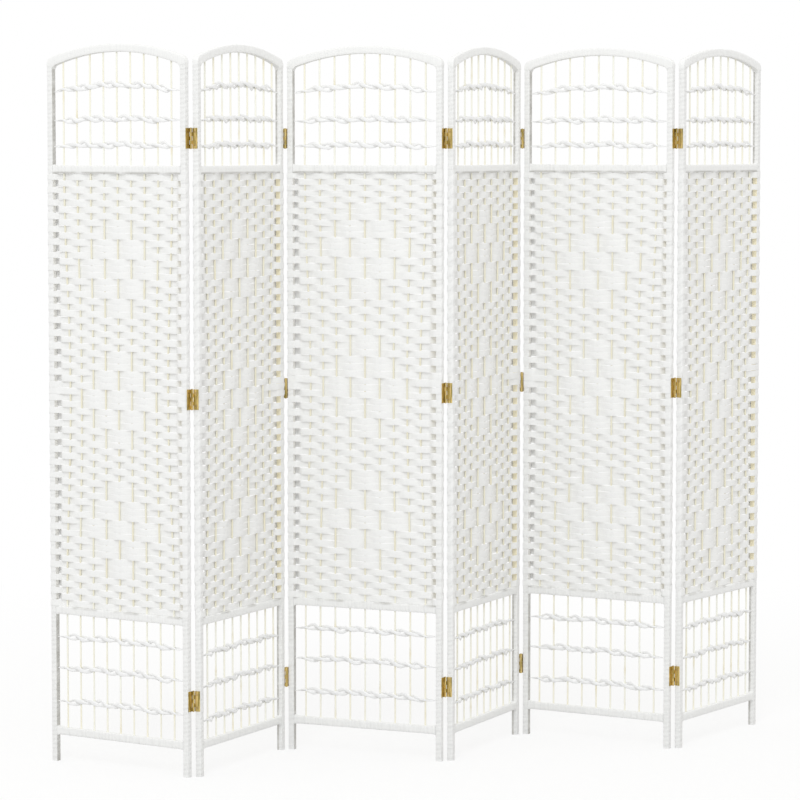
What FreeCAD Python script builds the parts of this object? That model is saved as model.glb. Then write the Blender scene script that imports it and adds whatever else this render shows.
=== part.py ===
import FreeCAD, Part
import math
import os

Vector = FreeCAD.Vector

# Panels, in millimetres: plan turn of each panel in degrees, as the screen stands half folded
PANEL_YAWS = (-49.4, 47.2, -40.5, 48.9, -47.1, 41.0)
PANEL_WIDTH = 430.0
PANEL_HEIGHT = 1800.0

# Posts: square bars with rounded corners, which take at most the given share of a side
POST_WIDTH = 16.0
POST_DEPTH = 16.0
POST_CORNER = 2.5
CORNER_SHARE = 0.45

# Top arch: a bar between two arcs, with a flat seat on each post
ARCH_RISE = 34.0
ARCH_END_HEIGHT = 20.0
ARCH_BAR = 20.0
ARCH_CORNER = 2.5

# Rails: underside heights from the floor, and the upper rail's drop below the crown of the arch
RAIL_HEIGHT = 20.0
RAIL_DEPTH = 14.0
RAIL_CORNER = 2.5
BOTTOM_RAIL_Z = 68.0
LOWER_RAIL_Z = 375.0
UPPER_RAIL_DROP = 319.0

# Round stub tenons that join rails to posts and posts to the arch
TENON_DIAMETER = 8.0
TENON_LENGTH = 8.0
TENON_CLEARANCE = 0.1

# Bamboo sticks, drawn in by the weave at mid height, most at the outermost stick
STICK_COUNT = 9
STICK_DIAMETER = 4.0
STICK_PITCH = 42.0
STICK_BOW = 15.0
STICK_BOW_POWER = 1.8
STICK_SOCKET = 8.0
STICK_CLEARANCE = 0.1

# Woven paper strip: courses are counted from the top, and each panel was woven with its own count
COURSE_COUNTS = (67, 67, 65, 65, 67, 65)
FIRST_DIAMOND_COURSES = (9, 9, 7, 7, 9, 9)
SPLICE_COURSES = (34, 34, 32, 32, 34, 32)
STRIP_THICKNESS = 1.0
STRIP_CLEARANCE = 0.25
STRIP_GAP = 0.4
WRAP_GAP = 0.5
DIAMOND_COUNT = 3
DIAMOND_SPACING = 20
DIAMOND_ROW_COURSES = 3
DIAMOND_REACH = (1, 2, 3, 2, 1)

# Twined cord rows of the open fields: gaps to the members below and above
CORD_ROWS = 3
CORD_STRAND_HEIGHT = 4.4
CORD_STRAND_THICKNESS = 1.4
CORD_STRAND_GAP = 0.4
LOWER_CORD_BOTTOM_GAP = 58.0
LOWER_CORD_TOP_GAP = 66.0
UPPER_CORD_BOTTOM_GAP = 49.0
UPPER_CORD_TOP_GAP = 49.0

# Butt hinges: centre heights, leaves, knuckles and pins
BOTTOM_HINGE_Z = 188.0
MIDDLE_HINGE_Z = 932.0
TOP_HINGE_DROP = 232.0
HINGE_LENGTH = 50.0
LEAF_WIDTH = 17.0
LEAF_THICKNESS = 1.2
BARREL_DIAMETER = 6.0
KNUCKLE_COUNT = 5
KNUCKLE_GAP = 0.25
PIN_DIAMETER = 3.0
PIN_CLEARANCE = 0.05
PIN_HEAD_DIAMETER = 4.6
PIN_HEAD_HEIGHT = 0.8

# Countersunk screws of the hinge leaves
SCREW_HEAD_DIAMETER = 6.0
SCREW_SHANK_DIAMETER = 2.6
SCREW_LENGTH = 12.0
SCREW_TIP_LENGTH = 2.5
SCREW_TIP_DIAMETER = 0.6
SCREW_INSET = 9.0
SCREW_CLEARANCE = 0.05
SCREW_SLOT_LENGTH = 3.4
SCREW_SLOT_WIDTH = 0.8
SCREW_SLOT_DEPTH = 0.6

# Heights and places that follow from the sizes above
CROWN_UNDERSIDE_Z = PANEL_HEIGHT - ARCH_BAR
POST_TOP_Z = PANEL_HEIGHT - ARCH_RISE - ARCH_END_HEIGHT
UPPER_RAIL_Z = PANEL_HEIGHT - UPPER_RAIL_DROP
LOWER_RAIL_TOP_Z = LOWER_RAIL_Z + RAIL_HEIGHT
BOTTOM_RAIL_TOP_Z = BOTTOM_RAIL_Z + RAIL_HEIGHT
UPPER_RAIL_TOP_Z = UPPER_RAIL_Z + RAIL_HEIGHT
WEAVE_HEIGHT = UPPER_RAIL_Z - LOWER_RAIL_TOP_Z
HINGE_CENTRES = (BOTTOM_HINGE_Z, MIDDLE_HINGE_Z, PANEL_HEIGHT - TOP_HINGE_DROP)
BARREL_RADIUS = BARREL_DIAMETER / 2
AXIS_OFFSET = POST_DEPTH / 2 + BARREL_RADIUS
KNUCKLE_PITCH = HINGE_LENGTH / KNUCKLE_COUNT
RIGHT_WARP = STICK_COUNT + 1
MIDDLE_STICK = (STICK_COUNT + 1) / 2
BACK = 1
FRONT = -1
LEFT = -1
RIGHT = 1
UP = Vector(0, 0, 1)


def outer_face(side):
    """Place along the panel of a post's outer side face."""
    return 0.0 if side == LEFT else PANEL_WIDTH


def inner_face(side):
    """Place along the panel of a post's inner side face."""
    return POST_WIDTH if side == LEFT else PANEL_WIDTH - POST_WIDTH


def stick_place(stick):
    """Place of a stick along the panel where it leaves a rail; sticks count from 1 at the left."""
    return PANEL_WIDTH / 2 + (stick - MIDDLE_STICK) * STICK_PITCH


def stick_bow(stick):
    """How far the weave draws a stick towards the middle at mid height, with its sign."""
    reach = (MIDDLE_STICK - stick) / (MIDDLE_STICK - 1)
    return math.copysign(STICK_BOW * abs(reach) ** STICK_BOW_POWER, reach)


def bow_radius(bow):
    """Radius of the four equal arcs that carry a stick out to its bow and back."""
    return ((WEAVE_HEIGHT / 4) ** 2 + (bow / 2) ** 2) / abs(bow)


def stick_place_at(stick, z):
    """Place of a stick along the panel at a height inside the weave, on its arcs."""
    bow = stick_bow(stick)
    if bow == 0:
        return stick_place(stick)
    quarter = WEAVE_HEIGHT / 4
    from_end = min(z - LOWER_RAIL_TOP_Z, UPPER_RAIL_Z - z)
    radius = bow_radius(bow)
    if from_end < quarter:
        shift = radius - math.sqrt(radius ** 2 - from_end ** 2)
    else:
        shift = abs(bow) - radius + math.sqrt(radius ** 2 - (2 * quarter - from_end) ** 2)
    return stick_place(stick) + math.copysign(shift, bow)


def arch_underside_points():
    return (Vector(inner_face(LEFT), 0, POST_TOP_Z),
            Vector(PANEL_WIDTH / 2, 0, CROWN_UNDERSIDE_Z),
            Vector(inner_face(RIGHT), 0, POST_TOP_Z))


def arch_underside_z(u):
    """Height of the arch's underside above a place along the panel, between the posts."""
    left, crown, right = arch_underside_points()
    half_span = (right.x - left.x) / 2
    rise = crown.z - left.z
    radius = (half_span ** 2 + rise ** 2) / (2 * rise)
    return crown.z - radius + math.sqrt(radius ** 2 - (u - crown.x) ** 2)


def rounded_bar(width, depth, corner, length):
    """Upright bar of rounded rectangular section, centred on the Z axis and standing on the origin."""
    x, y = width / 2, depth / 2
    r = min(corner, CORNER_SHARE * width, CORNER_SHARE * depth)
    k = r * (1 - math.sqrt(0.5))
    edges = []
    for sx, sy in ((1, 1), (-1, 1), (-1, -1), (1, -1)):
        start = Vector(sx * x, sy * (y - r), 0)
        middle = Vector(sx * (x - k), sy * (y - k), 0)
        end = Vector(sx * (x - r), sy * y, 0)
        if sx * sy < 0:
            start, end = end, start
        edges.append(Part.Arc(start, middle, end).toShape())
    wire_edges = []
    for edge, following in zip(edges, edges[1:] + edges[:1]):
        wire_edges.append(edge)
        wire_edges.append(Part.LineSegment(edge.lastVertex().Point, following.firstVertex().Point).toShape())
    return Part.Face(Part.Wire(wire_edges)).extrude(UP * length)


def bar_between(start, end, width, depth, corner):
    """Rounded bar laid along the panel between two places."""
    bar = rounded_bar(width, depth, corner, end - start)
    bar.rotate(Vector(), Vector(0, 1, 0), 90)
    bar.translate(Vector(start, 0, 0))
    return bar


# Frame of one panel

def hinge_screw_line(face):
    """Depth at which a leaf's screws sit: the middle of the leaf's width on the post."""
    near = face * POST_DEPTH / 2
    far = face * (AXIS_OFFSET - LEAF_WIDTH)
    return (near + far) / 2


def screw_heights():
    heights = []
    for centre in HINGE_CENTRES:
        for end in (-1, 1):
            heights.append(centre + end * (HINGE_LENGTH / 2 - SCREW_INSET))
    return heights


def rail_axis_heights():
    return [z + RAIL_HEIGHT / 2 for z in (BOTTOM_RAIL_Z, LOWER_RAIL_Z, UPPER_RAIL_Z)]


def post(side, hinge_face):
    """One post with its top tenon, its rail mortises and, on a hinged side, its screw holes."""
    middle = (outer_face(side) + inner_face(side)) / 2
    shape = rounded_bar(POST_WIDTH, POST_DEPTH, POST_CORNER, POST_TOP_Z)
    shape.translate(Vector(middle, 0, 0))
    tenon = Part.makeCylinder(TENON_DIAMETER / 2, TENON_LENGTH, Vector(middle, 0, POST_TOP_Z))
    shape = shape.fuse(tenon).removeSplitter()
    cuts = []
    for z in rail_axis_heights():
        mouth = Vector(inner_face(side), 0, z)
        cuts.append(Part.makeCylinder(TENON_DIAMETER / 2 + TENON_CLEARANCE, TENON_LENGTH + TENON_CLEARANCE,
                                      mouth, Vector(side, 0, 0)))
    if hinge_face:
        for z in screw_heights():
            mouth = Vector(outer_face(side), hinge_screw_line(hinge_face), z)
            depth = SCREW_LENGTH - LEAF_THICKNESS + SCREW_CLEARANCE
            cuts.append(Part.makeCylinder(SCREW_SHANK_DIAMETER / 2 + SCREW_CLEARANCE, depth,
                                          mouth, Vector(-side, 0, 0)))
    return shape.cut(Part.makeCompound(cuts))


def top_arch():
    """Arched bar on top of both posts, with sockets for the posts' tenons and for the sticks."""
    crown_ends_z = PANEL_HEIGHT - ARCH_RISE
    top_left = Vector(0, 0, crown_ends_z)
    top_right = Vector(PANEL_WIDTH, 0, crown_ends_z)
    crown = Vector(PANEL_WIDTH / 2, 0, PANEL_HEIGHT)
    seat_left, under_crown, seat_right = arch_underside_points()
    foot_left = Vector(0, 0, POST_TOP_Z)
    foot_right = Vector(PANEL_WIDTH, 0, POST_TOP_Z)
    outline = Part.Wire([
        Part.Arc(top_left, crown, top_right).toShape(),
        Part.LineSegment(top_right, foot_right).toShape(),
        Part.LineSegment(foot_right, seat_right).toShape(),
        Part.Arc(seat_right, under_crown, seat_left).toShape(),
        Part.LineSegment(seat_left, foot_left).toShape(),
        Part.LineSegment(foot_left, top_left).toShape(),
    ])
    shape = Part.Face(outline).extrude(Vector(0, POST_DEPTH, 0))
    shape.translate(Vector(0, -POST_DEPTH / 2, 0))
    long_edges = [edge for edge in shape.Edges if edge.Length > PANEL_WIDTH / 2]
    shape = shape.makeFillet(ARCH_CORNER, long_edges)
    cuts = []
    for side in (LEFT, RIGHT):
        middle = (outer_face(side) + inner_face(side)) / 2
        cuts.append(Part.makeCylinder(TENON_DIAMETER / 2 + TENON_CLEARANCE, TENON_LENGTH + TENON_CLEARANCE,
                                      Vector(middle, 0, POST_TOP_Z)))
    for stick in range(1, STICK_COUNT + 1):
        mouth = Vector(stick_place(stick), 0, UPPER_RAIL_TOP_Z + STICK_CLEARANCE)
        depth = stick_top_z(stick) - UPPER_RAIL_TOP_Z
        cuts.append(Part.makeCylinder(STICK_DIAMETER / 2 + STICK_CLEARANCE, depth, mouth))
    return shape.cut(Part.makeCompound(cuts))


def rail(z, socket_floor_z):
    """One rail with a stub tenon at each end and a hole for each stick down to the given height."""
    shape = bar_between(inner_face(LEFT), inner_face(RIGHT), RAIL_HEIGHT, RAIL_DEPTH, RAIL_CORNER)
    shape.translate(Vector(0, 0, z + RAIL_HEIGHT / 2))
    for side in (LEFT, RIGHT):
        shoulder = Vector(inner_face(side), 0, z + RAIL_HEIGHT / 2)
        shape = shape.fuse(Part.makeCylinder(TENON_DIAMETER / 2, TENON_LENGTH, shoulder, Vector(side, 0, 0)))
    holes = []
    for stick in range(1, STICK_COUNT + 1):
        holes.append(Part.makeCylinder(STICK_DIAMETER / 2 + STICK_CLEARANCE, z + RAIL_HEIGHT - socket_floor_z,
                                       Vector(stick_place(stick), 0, socket_floor_z)))
    return shape.cut(Part.makeCompound(holes)).removeSplitter()


def rails():
    return Part.makeCompound([
        rail(BOTTOM_RAIL_Z, stick_foot_z() - STICK_CLEARANCE),
        rail(LOWER_RAIL_Z, LOWER_RAIL_Z),
        rail(UPPER_RAIL_Z, UPPER_RAIL_Z),
    ])


# Sticks, weave and twined cords of one panel

def stick_foot_z():
    return BOTTOM_RAIL_TOP_Z - STICK_SOCKET


def stick_top_z(stick):
    return arch_underside_z(stick_place(stick)) + STICK_SOCKET


def stick(number):
    """Round stick: straight in both open fields, bowed towards the middle inside the weave."""
    u = stick_place(number)
    bow = stick_bow(number)
    foot = Vector(u, 0, stick_foot_z())
    top = Vector(u, 0, stick_top_z(number))
    if bow == 0:
        return Part.makeCylinder(STICK_DIAMETER / 2, top.z - foot.z, foot)
    points = []
    for eighth in range(9):
        z = LOWER_RAIL_TOP_Z + WEAVE_HEIGHT * eighth / 8
        points.append(Vector(stick_place_at(number, z), 0, z))
    edges = [Part.LineSegment(foot, points[0]).toShape()]
    for start, middle, end in zip(points[0::2], points[1::2], points[2::2]):
        edges.append(Part.Arc(start, middle, end).toShape())
    edges.append(Part.LineSegment(points[-1], top).toShape())
    section = Part.Wire(Part.Circle(foot, UP, STICK_DIAMETER / 2).toShape())
    return Part.Wire(edges).makePipeShell([section], True, False)


def sticks():
    return Part.makeCompound([stick(number) for number in range(1, STICK_COUNT + 1)])


def course_pitch(number):
    """Height of one course in the weave of a panel; panels count from 1 at the left."""
    return WEAVE_HEIGHT / COURSE_COUNTS[number - 1]


def diamond_reach(number, course):
    """Sticks each side of the middle one that a panel's diamond covers on a course, or None."""
    from_first = course - FIRST_DIAMOND_COURSES[number - 1]
    diamond, offset = divmod(from_first, DIAMOND_SPACING)
    row, in_row = divmod(offset, DIAMOND_ROW_COURSES)
    if 0 <= diamond < DIAMOND_COUNT and in_row == 0 and row < len(DIAMOND_REACH):
        return DIAMOND_REACH[row]
    return None


def strip_is_behind(number, course, warp):
    """Whether a panel's course passes behind a warp; warps 0 and the last are the posts."""
    if course == SPLICE_COURSES[number - 1] and warp in (0, RIGHT_WARP):
        return False
    behind = (course + warp) % 2 == 0
    reach = diamond_reach(number, course)
    if reach is not None and abs(warp - MIDDLE_STICK) <= reach:
        behind = not behind
    return behind


def wave(points):
    """Smooth curve through points, level along the panel at each of them."""
    knots = [point.x for point in points]
    poles = [points[0]]
    for before, after in zip(points, points[1:]):
        third = Vector((after.x - before.x) / 3, 0, 0)
        poles.append(before + third)
        poles.append(after - third)
    poles.append(points[-1])
    multiplicities = [4] + [2] * (len(points) - 2) + [4]
    curve = Part.BSplineCurve()
    curve.buildFromPolesMultsKnots(poles, multiplicities, knots, False, 3)
    return curve.toShape()


def turn_round_post(side, behind, gap, z):
    """Edges of a strip's surface round a post's outer corner to the middle of its side face."""
    face = BACK if behind else FRONT
    corner = Vector(outer_face(side) - side * POST_CORNER, face * (POST_DEPTH / 2 - POST_CORNER), z)
    radius = POST_CORNER + gap
    half = radius * math.sqrt(0.5)
    start = corner + Vector(0, face * radius, 0)
    middle = corner + Vector(side * half, face * half, 0)
    end = corner + Vector(side * radius, 0, 0)
    stop = Vector(end.x, face * WRAP_GAP / 2, z)
    return [Part.Arc(start, middle, end).toShape(), Part.LineSegment(end, stop).toShape()]


def strip_surface(number, course, z, over):
    """One face of a strip in plan: over is +1 for the face that lies outermost at the left post."""
    def depth(warp, clear):
        behind = strip_is_behind(number, course, warp)
        centre = clear + STRIP_CLEARANCE + STRIP_THICKNESS / 2
        return centre if behind else -centre

    outward = BACK if strip_is_behind(number, course, 0) else FRONT
    shift = outward * over * STRIP_THICKNESS / 2
    at_post = POST_DEPTH / 2
    left = depth(0, at_post) + shift
    right = depth(RIGHT_WARP, at_post) + shift
    points = [Vector(POST_CORNER, left, z), Vector(POST_WIDTH, left, z)]
    for warp in range(1, RIGHT_WARP):
        place = stick_place_at(warp, z + course_pitch(number) / 2)
        points.append(Vector(place, depth(warp, STICK_DIAMETER / 2) + shift, z))
    points.append(Vector(PANEL_WIDTH - POST_WIDTH, right, z))
    points.append(Vector(PANEL_WIDTH - POST_CORNER, right, z))
    return wave(points)


def meets_hinge(z_low, z_high):
    """Whether a course lies at the height of a hinge, where it stops short of the leaf."""
    for centre in HINGE_CENTRES:
        if z_low < centre + HINGE_LENGTH / 2 + STRIP_GAP and z_high > centre - HINGE_LENGTH / 2 - STRIP_GAP:
            return True
    return False


def strip(number, course):
    """One course of a panel's paper strip, turned round both posts unless a hinge is in the way."""
    z_low = UPPER_RAIL_Z - course * course_pitch(number) + STRIP_GAP / 2
    height = course_pitch(number) - STRIP_GAP
    outer = [strip_surface(number, course, z_low, 1)]
    inner = [strip_surface(number, course, z_low, -1)]
    if not meets_hinge(z_low, z_low + height):
        behind = strip_is_behind(number, course, 0)
        for side in (LEFT, RIGHT):
            outer += turn_round_post(side, behind, STRIP_CLEARANCE + STRIP_THICKNESS, z_low)
            inner += turn_round_post(side, behind, STRIP_CLEARANCE, z_low)
    outer = Part.Wire(Part.__sortEdges__(outer))
    inner = Part.Wire(Part.__sortEdges__(inner))
    ends = []
    outer_ends = open_ends(outer)
    inner_ends = open_ends(inner)
    for first, second in zip(outer_ends, inner_ends):
        ends.append(Part.LineSegment(first, second).toShape())
    outline = Part.Wire(Part.__sortEdges__(outer.Edges + inner.Edges + ends))
    return Part.Face(outline).extrude(UP * height)


def open_ends(wire):
    """The two end points of an open wire, left one first."""
    points = [vertex.Point for vertex in wire.OrderedVertexes]
    first, last = points[0], points[-1]
    return (first, last) if first.x < last.x else (last, first)


def weave(number):
    courses = range(1, COURSE_COUNTS[number - 1] + 1)
    return Part.makeCompound([strip(number, course) for course in courses])


def cord_strand(z_low, first_behind):
    """One strand of a twined row: it passes before and behind the sticks by turns, from post to post."""
    def depth(number):
        centre = STICK_DIAMETER / 2 + STRIP_CLEARANCE + CORD_STRAND_THICKNESS / 2
        return centre if (number % 2 == 1) == first_behind else -centre

    def surface(shift):
        points = [Vector(POST_WIDTH + STRIP_CLEARANCE, shift, z_low)]
        for number in range(1, STICK_COUNT + 1):
            points.append(Vector(stick_place(number), depth(number) + shift, z_low))
        points.append(Vector(PANEL_WIDTH - POST_WIDTH - STRIP_CLEARANCE, shift, z_low))
        return wave(points)

    front = surface(-CORD_STRAND_THICKNESS / 2)
    back = surface(CORD_STRAND_THICKNESS / 2)
    ends = [Part.LineSegment(front.firstVertex().Point, back.firstVertex().Point).toShape(),
            Part.LineSegment(front.lastVertex().Point, back.lastVertex().Point).toShape()]
    outline = Part.Wire(Part.__sortEdges__([front, back] + ends))
    return Part.Face(outline).extrude(UP * CORD_STRAND_HEIGHT)


def row_heights(low, high):
    step = (high - low) / (CORD_ROWS - 1)
    return [low + step * row for row in range(CORD_ROWS)]


def twist_cords():
    """Twined rows of both open fields, two strands each, one lying on the other."""
    heights = row_heights(BOTTOM_RAIL_TOP_Z + LOWER_CORD_BOTTOM_GAP, LOWER_RAIL_Z - LOWER_CORD_TOP_GAP)
    heights += row_heights(UPPER_RAIL_TOP_Z + UPPER_CORD_BOTTOM_GAP, POST_TOP_Z - UPPER_CORD_TOP_GAP)
    strands = []
    for z in heights:
        strands.append(cord_strand(z + CORD_STRAND_GAP / 2, True))
        strands.append(cord_strand(z - CORD_STRAND_GAP / 2 - CORD_STRAND_HEIGHT, False))
    return Part.makeCompound(strands)


# Hinges

def hinge_axis(side, face):
    """Plan place of a hinge's pin, off a post's outer corner by the barrel's radius both ways."""
    return Vector(outer_face(side) + side * BARREL_RADIUS, face * AXIS_OFFSET, 0)


def own_knuckles(side):
    """Knuckles of a leaf, counted from below: the odd ones go to the leaf on a right post."""
    first = 0 if side == RIGHT else 1
    return range(first, KNUCKLE_COUNT, 2)


def block(first, second, z_low, z_high):
    """Box between two plan corners and two heights."""
    x = min(first.x, second.x)
    y = min(first.y, second.y)
    return Part.makeBox(abs(second.x - first.x), abs(second.y - first.y), z_high - z_low, Vector(x, y, z_low))


def leaf(side, face):
    """One hinge leaf about mid height zero: a plate on the post's side face, rolled into its knuckles."""
    axis = hinge_axis(side, face)
    half = HINGE_LENGTH / 2
    on_post = Vector(outer_face(side), axis.y - face * LEAF_WIDTH, 0)
    clear_of_barrel = BARREL_RADIUS + KNUCKLE_GAP
    plate_end = Vector(outer_face(side) + side * LEAF_THICKNESS, axis.y - face * clear_of_barrel, 0)
    shape = block(on_post, plate_end, -half, half)
    for number in own_knuckles(side):
        low = -half + number * KNUCKLE_PITCH + (KNUCKLE_GAP / 2 if number > 0 else 0)
        high = -half + (number + 1) * KNUCKLE_PITCH - (KNUCKLE_GAP / 2 if number < KNUCKLE_COUNT - 1 else 0)
        tab = block(Vector(outer_face(side), plate_end.y, 0), Vector(plate_end.x, axis.y, 0), low, high)
        barrel = Part.makeCylinder(BARREL_RADIUS, high - low, axis + UP * low)
        shape = shape.fuse([tab, barrel])
    bore = Part.makeCylinder(PIN_DIAMETER / 2 + PIN_CLEARANCE, HINGE_LENGTH, axis - UP * half)
    cuts = [bore]
    for end in (-1, 1):
        mouth = Vector(plate_end.x, hinge_screw_line(face), end * (half - SCREW_INSET))
        cuts.append(screw_body(mouth, side, SCREW_CLEARANCE))
    return shape.cut(Part.makeCompound(cuts)).removeSplitter()


def screw_body(mouth, side, grow):
    """Countersunk screw without its slots, driven in from the leaf's surface; grow widens it for its hole."""
    inwards = Vector(-side, 0, 0)
    head_radius = SCREW_HEAD_DIAMETER / 2
    neck_radius = max(head_radius - LEAF_THICKNESS, SCREW_SHANK_DIAMETER / 2)
    head = Part.makeCone(head_radius + grow, neck_radius + grow, LEAF_THICKNESS, mouth, inwards)
    shank_length = SCREW_LENGTH - LEAF_THICKNESS - SCREW_TIP_LENGTH
    neck = mouth + inwards * LEAF_THICKNESS
    shank = Part.makeCylinder(SCREW_SHANK_DIAMETER / 2 + grow, shank_length, neck, inwards)
    tip = Part.makeCone(SCREW_SHANK_DIAMETER / 2 + grow, SCREW_TIP_DIAMETER / 2, SCREW_TIP_LENGTH,
                        neck + inwards * shank_length, inwards)
    return head.fuse([shank, tip])


def screw(side, face):
    """One screw at height zero, with its cross slots."""
    mouth = Vector(outer_face(side) + side * LEAF_THICKNESS, hinge_screw_line(face), 0)
    long, short = SCREW_SLOT_LENGTH / 2, SCREW_SLOT_WIDTH / 2
    bottom = mouth.x - side * SCREW_SLOT_DEPTH
    slots = [
        block(Vector(bottom, mouth.y - long, 0), Vector(mouth.x, mouth.y + long, 0), -short, short),
        block(Vector(bottom, mouth.y - short, 0), Vector(mouth.x, mouth.y + short, 0), -long, long),
    ]
    return screw_body(mouth, side, 0).cut(Part.makeCompound(slots)).removeSplitter()


def pin(face):
    """One pin about height zero in the joint at a panel's right side, with a low head above and below."""
    axis = hinge_axis(RIGHT, face)
    half = HINGE_LENGTH / 2 + KNUCKLE_GAP
    shape = Part.makeCylinder(PIN_DIAMETER / 2, 2 * half, axis - UP * half)
    for z in (-half - PIN_HEAD_HEIGHT, half):
        shape = shape.fuse(Part.makeCylinder(PIN_HEAD_DIAMETER / 2, PIN_HEAD_HEIGHT, axis + UP * z))
    return shape.removeSplitter()


def copies_at(shape, heights):
    return [shape.translated(UP * z) for z in heights]


def hinge_sides(number):
    """The hinged sides of a panel with the face that each hinge's axis lies at."""
    sides = []
    if number > 1:
        sides.append((LEFT, joint_face(number - 1)))
    if number < len(PANEL_YAWS):
        sides.append((RIGHT, joint_face(number)))
    return sides


def joint_face(joint):
    """Joints fold backwards and forwards by turns, the first one backwards."""
    return BACK if joint % 2 == 1 else FRONT


def hinge_leaves(number):
    shapes = []
    for side, face in hinge_sides(number):
        shapes += copies_at(leaf(side, face), HINGE_CENTRES)
    return Part.makeCompound(shapes)


def hinge_screws(number):
    shapes = []
    for side, face in hinge_sides(number):
        shapes += copies_at(screw(side, face), screw_heights())
    return Part.makeCompound(shapes)


# Standing the panels up, each one hung on the hinge axis of the one before it

def panel_placements():
    """Placement of each panel, the first with its left side face at the origin."""
    placements = [FreeCAD.Placement(Vector(), FreeCAD.Rotation(UP, PANEL_YAWS[0]))]
    for joint in range(1, len(PANEL_YAWS)):
        face = joint_face(joint)
        axis = placements[-1].multVec(hinge_axis(RIGHT, face))
        turn = FreeCAD.Rotation(UP, PANEL_YAWS[joint])
        placements.append(FreeCAD.Placement(axis - turn.multVec(hinge_axis(LEFT, face)), turn))
    return placements


def build():
    """All nodes by name, standing on the floor, centred on the origin."""
    placements = panel_placements()
    same_in_all = {"top_arch": top_arch(), "rails": rails(), "sticks": sticks(), "twist_cords": twist_cords()}
    nodes = {}
    for index, placement in enumerate(placements):
        number = index + 1
        faces = dict(hinge_sides(number))
        pieces = {"left_post": post(LEFT, faces.get(LEFT)), "right_post": post(RIGHT, faces.get(RIGHT))}
        pieces.update(same_in_all)
        pieces["weave"] = weave(number)
        pieces["hinge_leaves"] = hinge_leaves(number)
        pieces["hinge_screws"] = hinge_screws(number)
        for name, shape in pieces.items():
            nodes["panel_%d_%s" % (number, name)] = shape.transformed(placement.toMatrix(), copy=True)
        if RIGHT in faces:
            pins = Part.makeCompound(copies_at(pin(faces[RIGHT]), HINGE_CENTRES))
            joint = "hinge_%d_%d_pins" % (number, number + 1)
            nodes[joint] = pins.transformed(placement.toMatrix(), copy=True)
    box = FreeCAD.BoundBox()
    for shape in nodes.values():
        box.add(shape.BoundBox)
    for shape in nodes.values():
        shape.translate(Vector(-box.Center.x, -box.Center.y, 0))
    return nodes


os.makedirs("parts", exist_ok=True)
for node, shape in build().items():
    shape.exportStep("parts/%s.step" % node)
    print(node, len(shape.Solids), "solids")
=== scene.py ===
import math
import bpy
import numpy as np
from mathutils import Matrix, Vector


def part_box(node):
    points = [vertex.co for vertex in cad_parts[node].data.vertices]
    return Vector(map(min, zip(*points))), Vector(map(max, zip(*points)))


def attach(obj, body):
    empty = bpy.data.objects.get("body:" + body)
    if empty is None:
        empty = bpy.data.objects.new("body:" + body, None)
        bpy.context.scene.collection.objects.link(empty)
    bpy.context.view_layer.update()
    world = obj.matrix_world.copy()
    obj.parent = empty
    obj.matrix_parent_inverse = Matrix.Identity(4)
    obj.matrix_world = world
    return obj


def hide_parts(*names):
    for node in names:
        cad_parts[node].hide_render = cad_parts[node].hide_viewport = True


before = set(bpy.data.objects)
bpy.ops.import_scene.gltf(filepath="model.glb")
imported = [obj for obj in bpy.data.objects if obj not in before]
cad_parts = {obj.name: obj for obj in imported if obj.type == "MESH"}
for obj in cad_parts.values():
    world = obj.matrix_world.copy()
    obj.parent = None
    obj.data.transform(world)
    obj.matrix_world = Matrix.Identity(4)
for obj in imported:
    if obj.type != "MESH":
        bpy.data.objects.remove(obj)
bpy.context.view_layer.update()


# Studio: a pale floor that keeps a faint shadow, a white surround, and one large soft lamp at the left.
# The surround gives a slightly warm light, and the lamp a slightly cool one.
# The camera stands left of the screen's middle at eye height and looks slightly down.
FLOOR_SIZE = 24.0
FLOOR_PALE = (0.92, 0.92, 0.92, 1)
FLOOR_BOUNCE = (0.65, 0.65, 0.65, 1)
FLOOR_SHADOW_SHARE = 0.3
FLOOR_SHADOW_NEAR = 1.0
FLOOR_SHADOW_FAR = 3.5
WHITE = (1, 1, 1, 1)
SURROUND_WARM = (1, 0.991, 0.967, 1)
SURROUND_LEVEL = 0.94
LAMP_PLACE = Vector((-5.0, -10.7, 10.1))
LAMP_TARGET = Vector((0, 0, 0.9))
LAMP_SIZE = 6.0
LAMP_POWER = 550.0
LAMP_COOL = (0.92, 0.965, 1.0)
CAMERA_PLACE = (-2.4261, -8.1799, 1.5591)
CAMERA_TURN = math.radians(15.999)
CAMERA_DIP = math.radians(4.391)
CAMERA_LENS = 151.20
SENSOR = 36.0


def node(tree, kind, inputs=None, **settings):
    """Adds a shader node; inputs are constants or sockets to link, by name or number."""
    made = tree.nodes.new(kind)
    for name, value in settings.items():
        setattr(made, name, value)
    for name, value in (inputs or {}).items():
        if isinstance(value, bpy.types.NodeSocket):
            tree.links.new(value, made.inputs[name])
        else:
            made.inputs[name].default_value = value
    return made


def seen_rays(tree):
    """One for rays that show a surface directly, in a mirror or through glass, and nought for light."""
    path = node(tree, "ShaderNodeLightPath").outputs
    shown = path["Is Camera Ray"]
    for kind in ("Is Glossy Ray", "Is Transmission Ray"):
        shown = node(tree, "ShaderNodeMath", {0: shown, 1: path[kind]}, operation="MAXIMUM").outputs[0]
    return shown


def spread(tree, value, start, end, first=0.0, last=1.0):
    """Takes a value from the range between start and end to the one between first and last."""
    limits = {"From Min": start, "From Max": end, "To Min": first, "To Max": last}
    return node(tree, "ShaderNodeMapRange", {"Value": value, **limits}).outputs[0]


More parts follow.
